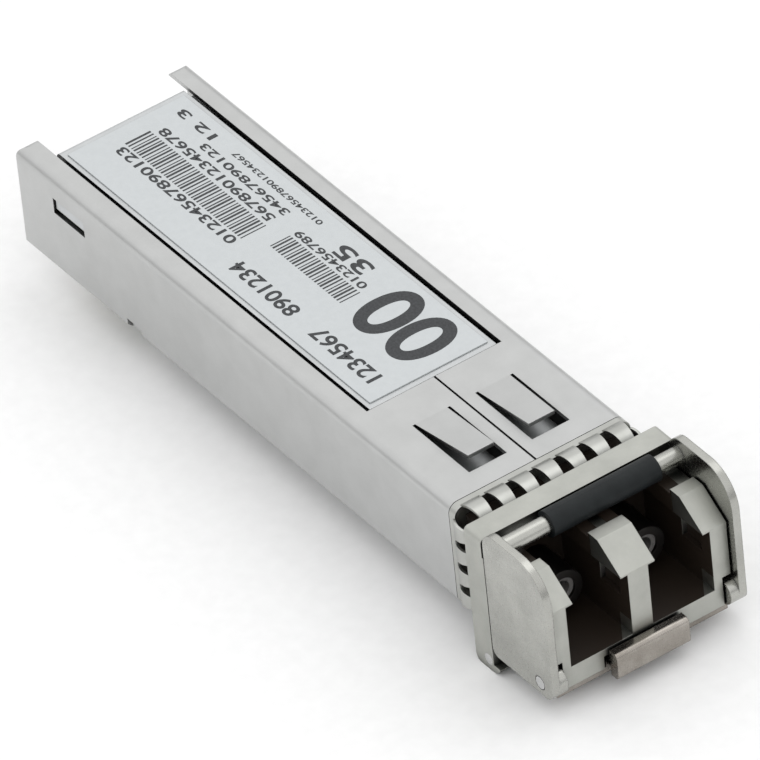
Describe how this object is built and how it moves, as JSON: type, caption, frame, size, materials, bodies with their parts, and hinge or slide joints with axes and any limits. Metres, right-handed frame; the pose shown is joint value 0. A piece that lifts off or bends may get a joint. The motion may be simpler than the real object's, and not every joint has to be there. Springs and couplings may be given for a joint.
{
  "type": "optical transceiver module",
  "caption": "Metal pluggable optical transceiver with a duplex fibre port, spring-finger collar, swing-down bail and bottom latch lever.",
  "frame": {"origin": "under the middle of the module, on the level of its lowest point", "axes": "+X towards the ports, +Z towards the label, +Y across the width"},
  "size_m": [0.0582, 0.0148, 0.0115],
  "materials": {
    "shell_steel": "satin stainless sheet",
    "spring_steel": "satin spring sheet",
    "cover_casting": "plated casting",
    "tray_casting": "plated casting",
    "nose_casting": "blasted and plated casting",
    "bail_metal": "plated casting",
    "grip_black": "matt black moulded sleeve",
    "pin_steel": "turned",
    "lever_steel": "plated stamping",
    "spring_wire": "drawn wire",
    "label_white": "matt label film",
    "board_green": "solder mask",
    "gold_contacts": "gold plated",
    "chip_black": "moulded",
    "capacitor_tan": "fired",
    "resistor_black": "fired",
    "inductor_grey": "ferrite",
    "screw_steel": "machined",
    "clamp_steel": "stamped",
    "absorber_rubber": "filled elastomer",
    "thermal_rubber": "filled silicone",
    "can_metal": "gold flashed can",
    "neck_metal": "turned",
    "barrel_metal": "turned",
    "sleeve_ceramic": "ground zirconia",
    "flex_amber": "polyimide film"
  },
  "bodies": {
    "module": {"sheet_metal_shell": "shell_steel", "emi_spring_collar": "spring_steel", "top_cover": "cover_casting", "base_tray": "tray_casting", "nose_housing": "nose_casting", "bail_pivot_left": "pin_steel", "bail_pivot_right": "pin_steel", "lever_pin": "pin_steel", "label_plate": "label_white", "circuit_board": "board_green", "edge_contacts_top": "gold_contacts", "edge_contacts_bottom": "gold_contacts", "controller_chip": "chip_black", "memory_chip": "chip_black", "laser_driver_chip": "chip_black", "amplifier_chip": "chip_black", "capacitors": "capacitor_tan", "resistors": "resistor_black", "inductors": "inductor_grey", "board_screws": "screw_steel", "nose_screws": "screw_steel", "clamp_screw": "screw_steel", "optics_clamp": "clamp_steel", "absorber_pad": "absorber_rubber", "thermal_pad": "thermal_rubber", "transmitter_can": "can_metal", "transmitter_neck": "neck_metal", "transmitter_barrel": "barrel_metal", "transmitter_ferrule_sleeve": "sleeve_ceramic", "transmitter_flex_circuit": "flex_amber", "transmitter_leads": "gold_contacts", "receiver_can": "can_metal", "receiver_neck": "neck_metal", "receiver_barrel": "barrel_metal", "receiver_ferrule_sleeve": "sleeve_ceramic", "receiver_flex_circuit": "flex_amber", "receiver_leads": "gold_contacts"},
    "bail": {"bail_handle": "bail_metal", "bail_grip_sleeve": "grip_black"},
    "latch": {"latch_lever": "lever_steel", "lever_spring": "spring_wire"}
  },
  "joints": [
    {"name": "bail_swing", "type": "hinge", "parent": "module", "child": "bail", "pos_m": [0.0274, 0, 0.00245], "axis": [0, 1, 0], "range_deg": [0, 90]},
    {"name": "lever_rock", "type": "hinge", "parent": "module", "child": "latch", "pos_m": [0.0218, 0, 0.0008], "axis": [0, 1, 0], "range_deg": [0, 4.5]}
  ],
  "couplings": [
    {"joint": "lever_rock", "follows": "bail_swing", "ratio": 0.05}
  ]
}
